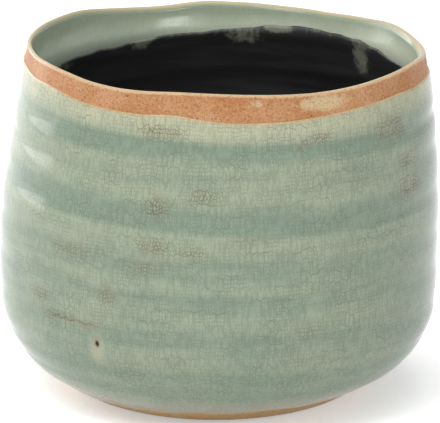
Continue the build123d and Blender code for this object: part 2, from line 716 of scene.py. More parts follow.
@dataclass
class Effects:
    """Effects that more than one finish uses, each a node group.

    Args:
        main: plain cracks.
        fine: faint cracks between them.
        wobbles: wobbles of a crack in a millimetre.
        astray: how far a crack goes astray in them.
        speck: how far apart iron specks lie.
    """

    main: CrackNet = CrackNet(2.3, 0.5, 0.046, 14.0, 3.0, (0.38, 0.64), 0.2)
    fine: CrackNet = CrackNet(1.05, 0.7, 0.1, 8.0, 2.0, (0.34, 0.62), 0.3)
    wobbles: float = 0.22
    astray: float = 1.6
    speck: float = 1.9

    def __post_init__(self) -> None:
        """Makes the groups."""
        self.crackle = self._crackle()
        self.specks = self._specks()
        self.clouds = self._clouds()

    @staticmethod
    def _group(name: str, outputs: tuple[str, ...]) -> tuple[Graph, Socket, bpy.types.Node]:
        """Starts a group that reads a place and gives values.

        Args:
            name: of the group.
            outputs: names of its values.

        Returns:
            The group's graph, its place socket and its output node.
        """
        tree = bpy.data.node_groups.new(name, "ShaderNodeTree")
        tree.interface.new_socket("Place", in_out="INPUT", socket_type="NodeSocketVector")
        for output in outputs:
            tree.interface.new_socket(output, in_out="OUTPUT", socket_type="NodeSocketFloat")
        source = tree.nodes.new("NodeGroupInput")
        return Graph(tree), source.outputs["Place"], tree.nodes.new("NodeGroupOutput")

    def _crackle(self) -> bpy.types.NodeTree:
        """Network of fine cracks in a glaze.

        Returns:
            Group that gives the main cracks, the fine ones between them, and their relief.
        """
        graph, place, out = self._group("crackle", ("Main", "Fine", "Relief"))
        inputs = {"Vector": place, "Scale": self.wobbles / MM, "Detail": 3.0}
        wander = graph.node("TexNoise", inputs).outputs["Color"]
        shift = graph.vector("ADD", wander, (-0.5, -0.5, -0.5))
        shift = graph.vector("MULTIPLY", shift, (self.astray * MM,) * 3)
        bent = graph.vector("ADD", place, shift)
        main, fine = (net.lines(graph, place, bent) for net in (self.main, self.fine))
        graph.feed(out.inputs["Main"], main)
        graph.feed(out.inputs["Fine"], fine)
        graph.feed(out.inputs["Relief"], graph.math("MAXIMUM", main, graph.math("MULTIPLY", fine, 0.5)))
        return graph.tree

    def _specks(self) -> bpy.types.NodeTree:
        """Scattered dark iron specks.

        Returns:
            Group that gives where a speck is.
        """
        graph, place, out = self._group("iron_specks", ("Speck",))
        cells = graph.node("TexVoronoi", {"Vector": place, "Scale": 1 / (self.speck * MM)})
        size = graph.math("MULTIPLY_ADD", cells.outputs["Color"], 0.56, -0.27)
        near = graph.math("SUBTRACT", size, cells.outputs["Distance"])
        graph.feed(out.inputs["Speck"], graph.spread(near, 0.0, 0.03))
        return graph.tree

    def _clouds(self) -> bpy.types.NodeTree:
        """Soft unevenness of a fired surface.

        Returns:
            Group that gives wide clouds, level streaks, fine upright streaks and grain.
        """
        graph, place, out = self._group("clouds", ("Wide", "Streak", "Hair", "Grain"))
        graph.feed(out.inputs["Wide"], graph.noise(place, 26.0, 4.0))
        graph.feed(out.inputs["Streak"], graph.noise(place, 34.0, 4.0, Vector((1.0, 1.0, 9.0))))
        graph.feed(out.inputs["Hair"], graph.noise(place, 1.0, 3.0, Vector((1.0, 1.0, 0.22))))
        graph.feed(out.inputs["Grain"], graph.noise(place, 1.1, 3.0))
        return graph.tree


@dataclass(frozen=True)
class Finish:
    """What every finish has.

    Args:
        slot: the record's material slot; not used.
        roughness: of the surface.
        mirror: how strongly it mirrors, 0.5 for window glass.
    """

    slot: Slot
    roughness: float
    mirror: float

    def material(self, name: str, effects: Effects) -> bpy.types.Material:
        """Makes the material.

        Args:
            name: of the material.
            effects: shared effects.

        Returns:
            The material.
        """
        material = bpy.data.materials.new(name)
        material.use_nodes = True
        shader = material.node_tree.nodes["Principled BSDF"]
        shader.inputs["Roughness"].default_value = self.roughness
        shader.inputs["Specular IOR Level"].default_value = self.mirror
        self.dress(Graph(material.node_tree), shader, effects)
        return material

    def dress(self, graph: Graph, shader: bpy.types.Node, effects: Effects) -> None:
        """Gives the shader its colours and relief, which each kind of finish does its own way."""
        raise NotImplementedError

    @staticmethod
    def effect(graph: Graph, tree: bpy.types.NodeTree, place: Socket) -> bpy.types.Node:
        """Adds the group node of a shared effect, read at a place."""
        return graph.node("Group", {"Place": place}, node_tree=tree)

    @staticmethod
    def emboss(graph: Graph, shader: bpy.types.Node, height: Socket, strength: float, depth: float) -> None:
        """Gives the shader fine relief of a depth in millimetres."""
        bump = graph.node("Bump", {"Strength": strength, "Distance": depth * MM, "Height": height})
        graph.feed(shader.inputs["Normal"], bump.outputs["Normal"])

    def wear(self, piece: bpy.types.Object, material: bpy.types.Material) -> None:
        """Puts the material on a piece."""
        piece.data.materials.append(material)


@dataclass(frozen=True)
class Glaze(Finish):
    """Pale green crackle glaze, thicker and greener where it has pooled.

    Args:
        slot: the record's material slot; not used.
        roughness: of the surface.
        mirror: how strongly it mirrors.
        crest: colour where it is thin on a ring.
        groove: colour where it has pooled, also laid on as painted shade on the flanks.
        cream: colour below the bare rim.
        edge: colour of its very edge.
        edge_from: thinness at which that colour starts.
        foot: beige colour near the foot, made paler as painted bounce light from the floor.
        crack: colour of clean cracks.
        haze: colour round stained cracks.
        stain: colour of stained cracks.
        crackle: how plainly all cracks show.
        main_cracks: how dark the main cracks are.
        fine_cracks: how dark the fine cracks are.
        hair_cracks: how dark the finest upright ones are.
        haze_share: how plainly the haze shows.
        soak: how dark stained cracks are.
        pit: where a pinhole has burst, in metres, and None for a coat without one.
        pit_pale: colour of the glaze that has run from it.
        pit_rim: colour of its scorched edge.
        pit_dark: colour of the hole.
    """

    slot: Slot = Slot.GLAZE
    roughness: float = 0.14
    mirror: float = 0.28
    crest: str = "A6B099"
    groove: str = "8A9C89"
    cream: str = "BEC0A3"
    edge: str = "C9A97D"
    edge_from: float = 0.9
    foot: str = "B4AE9A"
    crack: str = "535B4B"
    haze: str = "9B9374"
    stain: str = "3C3020"
    crackle: float = 1.0
    main_cracks: float = 0.58
    fine_cracks: float = 0.44
    hair_cracks: float = 0.3
    haze_share: float = 0.45
    soak: float = 0.95
    pit: tuple[float, float, float] | None = None
    pit_pale: str = "C3BFA0"
    pit_rim: str = "84684A"
    pit_dark: str = "2C180A"

    def dress(self, graph: Graph, shader: bpy.types.Node, effects: Effects) -> None:
        """Gives the shader its colours and relief.

        Args:
            graph: of the material.
            shader: its main shader.
            effects: shared effects.
        """
        place = graph.place()
        clouds = self.effect(graph, effects.clouds, place)
        cracks = self.effect(graph, effects.crackle, graph.wrapped())
        colour = self._body(graph, clouds)
        colour = self._cracked(graph, cracks, clouds, colour)
        if self.pit is not None:
            colour = self._pitted(graph, place, colour)
        graph.feed(shader.inputs["Base Color"], colour)
        relief = graph.math("MULTIPLY_ADD", cracks.outputs["Relief"], -0.35, graph.noise(place, 5.0, 2.0))
        self.emboss(graph, shader, relief, 0.12, 0.3)

    def _body(self, graph: Graph, clouds: bpy.types.Node) -> Socket:
        """Colour of the glaze itself, before any crack.

        Args:
            graph: of the material.
            clouds: soft unevenness.

        Returns:
            The colour.
        """
        wide = graph.math("MULTIPLY_ADD", clouds.outputs["Wide"], 0.8, -0.4)
        streak = graph.math("MULTIPLY_ADD", clouds.outputs["Streak"], 1.2, -0.6)
        # The pool mask also carries painted shade and a painted reflection on the flanks.
        pool = graph.math("ADD", graph.mask(Mask.POOL_AND_PAINTED_LIGHT), graph.math("ADD", wide, streak))
        colour = graph.blend(graph.spread(pool, -0.1, 1.0), tint(self.crest), tint(self.groove))
        thin = graph.mask(Mask.THIN)
        uneven = graph.math("ADD", thin, graph.math("MULTIPLY", wide, 0.5))
        colour = graph.blend(graph.spread(uneven, 0.2, 0.75), colour, tint(self.cream))
        # Near the foot: the glaze's beige tint, made paler as painted bounce light.
        low = graph.math("ADD", graph.mask(Mask.FOOT_AND_BOUNCE), graph.math("MULTIPLY", streak, 0.5))
        colour = graph.blend(graph.spread(low, 0.15, 0.9, 0.0, 0.75), colour, tint(self.foot))
        return graph.blend(graph.spread(thin, self.edge_from, 0.995), colour, tint(self.edge))

    def _cracked(
        self, graph: Graph, cracks: bpy.types.Node, clouds: bpy.types.Node, colour: Socket
    ) -> Socket:
        """Adds the cracks, and the brown that has crept into some.

        Args:
            graph: of the material.
            cracks: crack network.
            clouds: soft unevenness.
            colour: colour so far.

        Returns:
            The colour with them.
        """
        main, fine = cracks.outputs["Main"], cracks.outputs["Fine"]
        strong = graph.math("MULTIPLY", main, self.main_cracks * self.crackle)
        faint = graph.math("MULTIPLY", fine, self.fine_cracks * self.crackle)
        hair = graph.spread(clouds.outputs["Hair"], 0.4, 0.66, 0.0, self.hair_cracks * self.crackle)
        lines = graph.math("MAXIMUM", graph.math("MAXIMUM", strong, faint), hair)
        colour = graph.blend(lines, colour, tint(self.crack))
        stain = graph.mask(Mask.STAIN)
        patchy = graph.math("MULTIPLY", stain, graph.spread(clouds.outputs["Grain"], 0.3, 0.6, 0.5, 1.0))
        colour = graph.blend(graph.math("MULTIPLY", patchy, self.haze_share), colour, tint(self.haze))
        soak = graph.math("MULTIPLY", graph.math("MAXIMUM", main, fine), self.soak)
        return graph.blend(graph.math("MULTIPLY", patchy, soak), colour, tint(self.stain))

    def _pitted(self, graph: Graph, place: Socket, colour: Socket) -> Socket:
        """Adds the burst pinhole: a dark pit in a pale patch that runs down.

        Args:
            graph: of the material.
            place: on the piece.
            colour: colour so far.

        Returns:
            The colour with it.
        """
        off = graph.vector("SUBTRACT", place, self.pit)
        rough = graph.math("MULTIPLY_ADD", graph.noise(place, 1.2, 2.0), 1.4 * MM, -0.7 * MM)
        run = graph.vector("ADD", off, (0.0, 0.0, 3.2 * MM))
        pale = graph.math("ADD", graph.length(graph.vector("MULTIPLY", run, (1.0, 1.0, 0.55))), rough)
        dark = graph.math("ADD", graph.length(graph.vector("MULTIPLY", off, (1.0, 1.0, 0.85))), rough)
        colour = graph.blend(graph.spread(pale, 0.8 * MM, 5.0 * MM, 0.5, 0.0), colour, tint(self.pit_pale))
        colour = graph.blend(graph.spread(dark, 0.6 * MM, 2.2 * MM, 0.55, 0.0), colour, tint(self.pit_rim))
        return graph.blend(graph.spread(dark, 0.5 * MM, 1.1 * MM, 1.0, 0.0), colour, tint(self.pit_dark))


@dataclass(frozen=True)
class Clay(Finish):
    """Bare fired stoneware.

    Args:
        slot: the record's material slot; not used.
        roughness: of the surface.
        mirror: how strongly it mirrors.
        glassy_roughness: of the surface where glaze is smeared on it.
        warm: main colour.
        pale: colour where it is toasted less.
        glassy: colour of thin glaze smeared on it, also a painted highlight along the crest of the lip.
        iron: colour of specks.
        low: pale colour of the foot, painted bounce light against its shadow on the floor.
    """

    slot: Slot = Slot.CLAY
    roughness: float = 0.5
    mirror: float = 0.2
    glassy_roughness: float = 0.2
    warm: str = "B57D50"
    pale: str = "CB9C75"
    glassy: str = "D2BB93"
    iron: str = "5B3A22"
    low: str = "DCB579"

    def dress(self, graph: Graph, shader: bpy.types.Node, effects: Effects) -> None:
        """Gives the shader its colours and relief.

        Args:
            graph: of the material.
            shader: its main shader.
            effects: shared effects.
        """
        place = graph.place()
        clouds = self.effect(graph, effects.clouds, place)
        specks = self.effect(graph, effects.specks, place)
        wide = graph.math("ADD", clouds.outputs["Wide"], graph.math("MULTIPLY", clouds.outputs["Grain"], 0.5))
        colour = graph.blend(graph.spread(wide, 0.6, 0.95), tint(self.warm), tint(self.pale))
        # Painted light: the foot is made paler to stand in for light bounced off the floor into its shadow.
        colour = graph.blend(graph.mask(Mask.FOOT_AND_BOUNCE), colour, tint(self.low))
        uneven = graph.math("MULTIPLY_ADD", graph.noise(place, 2.6, 3.0), 1.2, -0.6)
        smear = graph.spread(graph.math("ADD", graph.mask(Mask.SMEAR), uneven), 0.25, 0.75)
        colour = graph.blend(graph.math("MULTIPLY", smear, 0.85), colour, tint(self.glassy))
        # Pale crest of the lip: thin glaze on it and a painted highlight.
        crest = graph.mask(Mask.THIN)
        colour = graph.blend(graph.spread(crest, 0.55, 1.0, 0.0, 0.6), colour, tint(self.glassy))
        colour = graph.blend(graph.math("MULTIPLY", specks.outputs["Speck"], 0.75), colour, tint(self.iron))
        dust = graph.noise(place, 0.75, 2.0)
        colour = graph.blend(graph.spread(dust, 0.5, 0.72, 0.0, 0.46), colour, tint(self.iron))
        colour = graph.blend(graph.spread(dust, 0.46, 0.26, 0.0, 0.7), colour, tint(self.pale))
        graph.feed(shader.inputs["Base Color"], colour)
        shiny = graph.math("MAXIMUM", smear, crest)
        sheen = graph.spread(shiny, 0.0, 1.0, self.roughness, self.glassy_roughness)
        graph.feed(shader.inputs["Roughness"], sheen)
        self.emboss(graph, shader, clouds.outputs["Grain"], 0.5, 0.25)


@dataclass(frozen=True)
class Lining(Finish):
    """Black sealing coat, brushed on, thin at its edge.

    Args:
        slot: the record's material slot; not used.
        roughness: of the surface, about the middle of its streaks.
        mirror: how strongly it mirrors.
        streaky: how much rougher or smoother the streaks are.
        black: colour of the coat.
        worn: colour where the brush left it thin.
        under: colour of the glaze that shows through it.
    """

    slot: Slot = Slot.LINING
    roughness: float = 0.42
    mirror: float = 0.45
    streaky: float = 0.08
    black: str = "242425"
    worn: str = "2A2A2B"
    under: str = "777A6B"

    def dress(self, graph: Graph, shader: bpy.types.Node, effects: Effects) -> None:
        """Gives the shader its colours and relief.

        Args:
            graph: of the material.
            shader: its main shader.
            effects: shared effects.
        """
        place = graph.place()
        streak = self.effect(graph, effects.clouds, place).outputs["Streak"]
        colour = graph.blend(graph.spread(streak, 0.45, 0.7), tint(self.black), tint(self.worn))
        breaks = graph.math("MULTIPLY_ADD", graph.noise(place, 2.4, 5.0), 1.5, -0.75)
        bare = graph.spread(graph.math("ADD", graph.mask(Mask.SMEAR), breaks), 0.25, 0.95)
        colour = graph.blend(bare, colour, tint(self.under))
        graph.feed(shader.inputs["Base Color"], colour)
        low, high = self.roughness - self.streaky, self.roughness + self.streaky
        graph.feed(shader.inputs["Roughness"], graph.spread(streak, 0.3, 0.7, low, high))
        self.emboss(graph, shader, streak, 0.12, 0.4)


@dataclass
class Layer:
    """One layer of the pot.

    Args:
        form: the thrown form that it follows.
        effects: shared effects.
        steps: sections in a full turn.
        sink: how far a coat's hidden side lies in what carries it.
    """

    form: ThrownForm
    effects: Effects
    steps: int = 360
    sink: float = 0.15

    @property
    def turns(self) -> np.ndarray:
        """Turns of the sections, starting behind the pot."""
        return np.linspace(-math.pi, math.pi, self.steps, endpoint=False)

    def rows(self, start: np.ndarray | float, stop: np.ndarray | float, shares: np.ndarray) -> np.ndarray:
        """Values from one edge to another at some shares of the way, one row for each turn."""
        start, stop = (np.broadcast_to(edge, self.steps)[:, None] for edge in (start, stop))
        return start + (stop - start) * shares

    def outside(self, height: np.ndarray) -> np.ndarray:
        """Radius of the bare outside at heights that have one row for each turn."""
        return self.form.wall(self.turns[:, None], height)

    def inside(self, height: np.ndarray) -> np.ndarray:
        """Radius of the bare inside at heights that have one row for each turn."""
        return self.form.hollow(self.turns[:, None], height)

    def rounded(self, share: np.ndarray, thickness: float) -> np.ndarray:
        """Height of a coat that swells like a drop, from its sunk edge to its thickness."""
        return (thickness + self.sink) * np.sqrt(1 - (1 - share) ** 2) - self.sink

    def down(self, shell: Shell, top: np.ndarray, cover: float, count: int = 30) -> None:
        """Adds the inside from an edge down to the middle of the floor.

        Args:
            shell: the piece so far.
            top: height of the edge, for each turn.
            cover: thickness of what lies on the clay there.
            count: rows down the wall.
        """
        radius, height = self.form.floor(cover)
        wall = self.rows(top, height[-1], np.linspace(0, 1, count)[1:-1])
        shell.add(self.inside(wall) - cover, wall)
        shell.add(radius[::-1], height[::-1])

    def settle(self, shell: Shell, finish: Finish, look: str, node: str) -> None:
        """Builds a piece, dresses it and fixes it to the CAD body in the place of its node.

        Args:
            shell: the finished skin.
            finish: what it is made of.
            look: name of its material.
            node: CAD node that it stands for.
        """
        piece = shell.build()
        finish.wear(piece, finish.material(look, self.effects))
        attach(piece, "root")
        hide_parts(node)
        log.info("%s stands for %s", piece.name, node)


@dataclass
class ClayBody(Layer):
    """Thrown and fired clay: foot ring, wall, rounded lip, hollow and floor.

    Args:
        finish: what it is made of.
        foot_radius: of the foot ring's outer edge.
        ring_width: of the foot ring.
        recess: depth of the hollow under the foot.
        round_edge: radius of the foot's edges.
        flat_inset: how far within the ring's inner and outer edge it is flat.
        wall_start: height at which the wall starts.
        heel_height: height at which the wall turns upright.
        neck: how far below the lip the mesh gets finer.
        foot_bounce_fade: heights between which the foot's pale colour, painted bounce light, ends.
        crest_glaze_and_highlight_fade: distances below the lip between which the pale crest ends, thin glaze
            and a painted highlight.
        smears: thin glaze on the bare rim.
    """

    finish: Clay = Clay()
    foot_radius: float = 47.0
    ring_width: float = 9.0
    recess: float = 2.0
    round_edge: float = 0.8
    flat_inset: tuple[float, float] = (2.0, 1.4)
    wall_start: float = 0.35
    heel_height: float = 12.35
    neck: float = 22.0
    foot_bounce_fade: tuple[float, float] = (6.0, 30.0)
    crest_glaze_and_highlight_fade: tuple[float, float] = (0.3, 1.6)
    smears: tuple[Patch, ...] = (
        Patch(28, 131.0, 9.5, 3.2, 0.85),
        Patch(9, 132.5, 3.2, 1.6, 0.6),
        Patch(-52, 128.0, 5.0, 1.0, 0.45),
    )

    def build(self) -> None:
        """Builds and dresses the piece."""
        shell = Shell("thrown_clay", self.form, self.turns)
        self._foot(shell)
        self._wall(shell)
        rim = self.form.rim(self.turns)
        self.down(shell, rim - self.form.lip_tall, 0.0, 50)
        turn, _, height = shell.grid()
        shell.masks[Mask.SMEAR] = marks(self.smears, turn, height)
        # Pale crest of the lip: thin glaze and a painted highlight.
        shell.masks[Mask.THIN] = 1 - eased(rim[:, None] - height, *self.crest_glaze_and_highlight_fade)
        # Painted bounce light on the foot.
        shell.masks[Mask.FOOT_AND_BOUNCE] = 1 - eased(height, *self.foot_bounce_fade)
        self.settle(shell, self.finish, "bare_clay", "clay_body")

    def _foot(self, shell: Shell) -> None:
        """Adds the underside, from its middle out to the foot's outer edge.

        Args:
            shell: the piece so far.
        """
        inner = self.foot_radius - self.ring_width
        corner = np.linspace(0, math.pi / 2, 5)
        shell.add(np.linspace(0, inner, 6), np.full(6, self.recess))
        shell.add(inner + self.round_edge * (1 - np.cos(corner)), self.round_edge * (1 - np.sin(corner)))
        start, stop = inner + self.flat_inset[0], self.foot_radius - self.flat_inset[1]
        shell.add(np.linspace(start, stop, 4), np.zeros(4))

    def _wall(self, shell: Shell) -> None:
        """Adds the outside up to the lip, and the lip itself.

        Args:
            shell: the piece so far.
        """
        rim = self.form.rim(self.turns)
        stops = (self.wall_start, self.heel_height, rim - self.neck, rim - self.form.lip_tall)
        for start, stop, count in zip(stops, stops[1:], (16, 40, 24)):
            height = self.rows(start, stop, np.linspace(0, 1, count, endpoint=False))
            shell.add(self.outside(height), height)
        shell.add(*self.form.lip(self.turns, np.linspace(0, math.pi, 21)))


@dataclass
class OuterGlaze(Layer):
    """Glaze over the outside, from below the bare rim to just above the foot.

    Args:
        finish: what it is made of.
        thickness: of the coat.
        band: bare clay below the lip, against degrees round the pot.
        band_ragged: unevenness of that edge.
        foot_height: where the glaze stops.
        foot_waves: regular unevenness of that edge.
        foot_ragged: irregular unevenness of that edge.
        taper: how far from its edge it reaches its thickness.
        roll: how much thicker it has run above its foot.
        roll_height: where that is, above the edge.
        roll_reach: how far that reaches up and down.
        cream_reach: how far down it is creamy below the band.
        foot_bounce_reach: how far up it is paler above the foot, with painted bounce light.
        right_shade: painted shade on the right flank, as a share of the pooled glaze's colour.
        right_edge_shade: further painted shade on the very right.
        left_shade: painted shade low on the left flank, as a share of the pooled glaze's colour.
        stains: where brown has crept into the cracks.
        pit_turn: degrees at which a pinhole has burst.
        pit_height: height of that pinhole.
    """

    finish: Glaze = Glaze()
    thickness: float = 0.6
    band: Curve = Curve(
        (
            (-180.0, 8.2), (-120.0, 7.4), (-85.0, 6.4), (-65.0, 6.7), (-50.0, 7.2), (-30.0, 7.9),
            (-14.0, 8.4), (-6.0, 9.6), (5.0, 10.0), (14.0, 9.6), (24.0, 8.6), (40.0, 7.3), (54.0, 7.4),
            (66.0, 8.3), (82.0, 7.4), (120.0, 8.0), (180.0, 8.2),
        )
    )
    band_ragged: Ragged = Ragged(0.22, 4, 26, 3)
    foot_height: float = 7.0
    foot_waves: tuple[Wave, ...] = (Wave(2, 0.7, 35), Wave(3, 0.4, 20))
    foot_ragged: Ragged = Ragged(0.5, 5, 24, 8)
    taper: float = 0.8
    roll: float = 0.35
    roll_height: float = 1.6
    roll_reach: float = 1.1
    cream_reach: float = 13.0
    foot_bounce_reach: float = 12.0
    # Painted shade on the flanks.
    right_shade: float = 0.38
    right_edge_shade: float = 0.4
    left_shade: float = 0.4
    stains: tuple[Patch, ...] = (
        Patch(-18, 121.5, 7.0, 2.4, 0.75),
        Patch(21, 116.5, 2.4, 1.8, 0.8),
        Patch(27, 118.5, 3.0, 2.2, 0.8),
        Patch(52, 116.5, 7.0, 4.6, 1.0),
        Patch(60, 103.0, 5.0, 3.4, 0.95),
        Patch(-17, 94.5, 3.6, 4.6, 0.75),
        Patch(-5, 98.5, 4.4, 2.6, 0.6),
        Patch(60, 92.0, 6.0, 4.4, 1.0),
        Patch(-17.6, 78.5, 4.2, 3.0, 1.0),
        Patch(-6.6, 77.0, 3.6, 2.6, 0.6),
        Patch(-42, 73.0, 5.5, 3.0, 0.8),
        Patch(-20, 70.5, 4.0, 2.2, 0.85),
        Patch(-30, 58.0, 3.0, 3.2, 0.95),
        Patch(-53, 52.0, 3.6, 2.4, 0.85),
        Patch(-46, 45.5, 8.0, 2.6, 0.75),
        Patch(-36, 44.5, 5.0, 1.8, 0.75),
        Patch(23, 45.5, 3.0, 2.2, 0.4),
        Patch(72, 44.0, 7.0, 5.0, 0.35),
        Patch(150, 100.0, 9.0, 5.0, 0.6),
        Patch(-140, 80.0, 8.0, 5.0, 0.6),
        Patch(118, 62.0, 7.0, 5.0, 0.5),
        Patch(-110, 112.0, 8.0, 4.0, 0.5),
    )
    pit_turn: float = -33.0
    pit_height: float = 38.0

    def build(self) -> None:
        """Builds and dresses the piece."""
        turns = self.turns
        top = self.form.rim(turns) - self.band.at(np.degrees(turns)) + self.band_ragged.at(turns)
        low = self.foot_height + sum(wave.at(turns) for wave in self.foot_waves) + self.foot_ragged.at(turns)
        shell = Shell("outer_glaze_coat", self.form, turns)
        self._coat(shell, low, top)
        turn, _, height = shell.grid()
        # Painted shade: the flanks are darkened with the pooled glaze's colour.
        painted_shade = self._flank_shade(turn, height)
        shell.masks[Mask.POOL_AND_PAINTED_LIGHT] = painted_shade + (1 - painted_shade) * self.form.pool(turn, height)
        shell.masks[Mask.THIN] = 1 - np.clip((top[:, None] - height) / self.cream_reach, 0, 1)
        # Paler near the foot: painted bounce light and the glaze's beige tint.
        shell.masks[Mask.FOOT_AND_BOUNCE] = 1 - np.clip((height - low[:, None]) / self.foot_bounce_reach, 0, 1)
        shell.masks[Mask.STAIN] = marks(self.stains, turn, height)
        radius = self.form.outside.at(self.pit_height) + self.thickness
        pit = self.form.place(math.radians(self.pit_turn), radius, self.pit_height)
        self.settle(shell, replace(self.finish, pit=tuple(pit)), "outer_crackle_glaze", "outer_glaze")

    def _coat(self, shell: Shell, low: np.ndarray, top: np.ndarray) -> None:
        """Adds the coat's outer side and its hidden side.

        Args:
            shell: the piece so far.
            low: height of its lower edge, for each turn.
            top: height of its upper edge, for each turn.
        """
        edge = np.array([0.0, 0.0012, 0.003, 0.006])
        shares = np.concatenate([edge, np.linspace(0, 1, 150)[1:-1], 1 - edge[::-1]])
        height = self.rows(low, top, shares)
        above, below = height - low[:, None], top[:, None] - height
        share = np.clip(np.minimum(above, below) / self.taper, 0, 1)
        roll = self.roll * np.exp(-(((above - self.roll_height) / self.roll_reach) ** 2))
        shell.add(self.outside(height) + self.rounded(share, self.thickness) + roll, height)
        hidden = self.rows(top, low, np.linspace(0, 1, 40)[1:-1])
        shell.add(self.outside(hidden) - self.sink, hidden)

    def _flank_shade(self, turn: np.ndarray, height: np.ndarray) -> np.ndarray:
        """Painted shade on the two flanks, as a share of the pooled glaze's colour, on the left one only low
        down.

        Args:
            turn: round the pot.
            height: up the wall.

        Returns:
            Share from 0 to 1.
        """
        aside = eased(np.abs(turn), 0.5, 1.3) * (1 - eased(np.abs(turn), 1.9, 2.6))
        right = self.right_shade + self.right_edge_shade * eased(turn, 0.95, 1.3)
        left = self.left_shade * (1 - eased(height, 60.0, 95.0))
        return aside * np.where(turn > 0, right, left)


@dataclass
class InnerGlaze(Layer):
    """The same glaze over the inside, up to the lip, paler and with fainter cracks.

    Args:
        finish: what it is made of.
        thickness: of the coat.
        reach: radians over the lip, from the outside, at which it ends.
        swing: how that differs from front to back.
        ragged: unevenness of that end.
        taper: radians within which it reaches its thickness.
        drained: share of its thickness that has run off the top of the lip.
        left_shade: painted shade on the left wall, as a share of the pooled glaze's colour.
        right_painted_reflection: share of the pooled glaze's colour taken away on the right, as a painted
            reflection.
        right_rim_painted_reflection: how much weaker its colour below the lip is on the right, as a painted
            reflection.
        rim_reach: how far down that colour reaches.
        rim_over: how far above the clay of the lip that is counted from.
    """

    finish: Glaze = Glaze(
        crest="C5CBB6", groove="A6B29F", cream="98A48D", edge="BEB08B", edge_from=0.88, crackle=0.3
    )
    thickness: float = 0.6
    reach: float = 1.5
    swing: Wave = Wave(1, 0.27, 0)
    ragged: Ragged = Ragged(0.12, 3, 30, 5)
    taper: float = 0.7
    drained: float = 0.7
    # Painted shade on the left and a painted reflection on the right.
    left_shade: float = 0.85
    right_painted_reflection: float = 0.8
    right_rim_painted_reflection: float = 0.26
    rim_reach: float = 14.0
    rim_over: float = 0.2

    def build(self) -> None:
        """Builds and dresses the piece."""
        top = self.form.rim(self.turns) - self.form.lip_tall
        shell = Shell("inner_glaze_coat", self.form, self.turns)
        radius, height = self.form.floor(self.thickness)
        shell.add(radius, height)
        wall = self.rows(height[-1], top, 1 - np.linspace(1, 0, 60)[1:-1] ** 1.4)
        shell.add(self.inside(wall) - self.thickness, wall)
        self._over_lip(shell)
        self.down(shell, top, -self.sink)
        self._masks(shell)
        self.settle(shell, self.finish, "inner_crackle_glaze", "inner_glaze")

    def _over_lip(self, shell: Shell) -> None:
        """Adds the stretch over the lip, there and back under itself.

        Args:
            shell: the piece so far.
        """
        turns = self.turns
        end = self.reach + self.swing.at(turns) + self.ragged.at(turns)
        bend = self.rows(math.pi, end, 1 - np.linspace(1, 0, 15) ** 1.3)
        share = np.clip((bend - end[:, None]) / self.taper, 0, 1)
        coat = self.rounded(share, self.thickness) * (1 - self.drained * np.sin(bend))
        shell.add(*self.form.lip(turns, bend, coat))
        shell.add(*self.form.lip(turns, bend[:, -2::-3], -self.sink))

    def _masks(self, shell: Shell) -> None:
        """Notes where the glaze has pooled and where it is thin, with painted shade on the left wall and a
        painted reflection that lightens the right wall.

        Args:
            shell: the piece so far.
        """
        turn, _, height = shell.grid()
        aside = eased(np.abs(turn), 0.9, 1.8) * (1 - eased(np.abs(turn), 2.5, 3.1))
        left, right = np.where(turn < 0, aside, 0.0), np.where(turn > 0, aside, 0.0)
        # Painted shade on the left wall; a painted reflection lightens the right wall and its rim.
        painted_shade = self.left_shade * left
        pool = self.form.pool(turn, height) * (1 - self.right_painted_reflection * right)
        shell.masks[Mask.POOL_AND_PAINTED_LIGHT] = painted_shade + (1 - painted_shade) * pool
        deep = self.form.rim(self.turns)[:, None] + self.rim_over - height
        near = 1 - np.clip(deep / self.rim_reach, 0, 1)
        shell.masks[Mask.THIN] = np.maximum(near * (1 - self.right_rim_painted_reflection * right), eased(near, 0.84, 0.96))
        shell.masks[Mask.FOOT_AND_BOUNCE] = np.zeros_like(height)
        shell.masks[Mask.STAIN] = np.zeros_like(height)


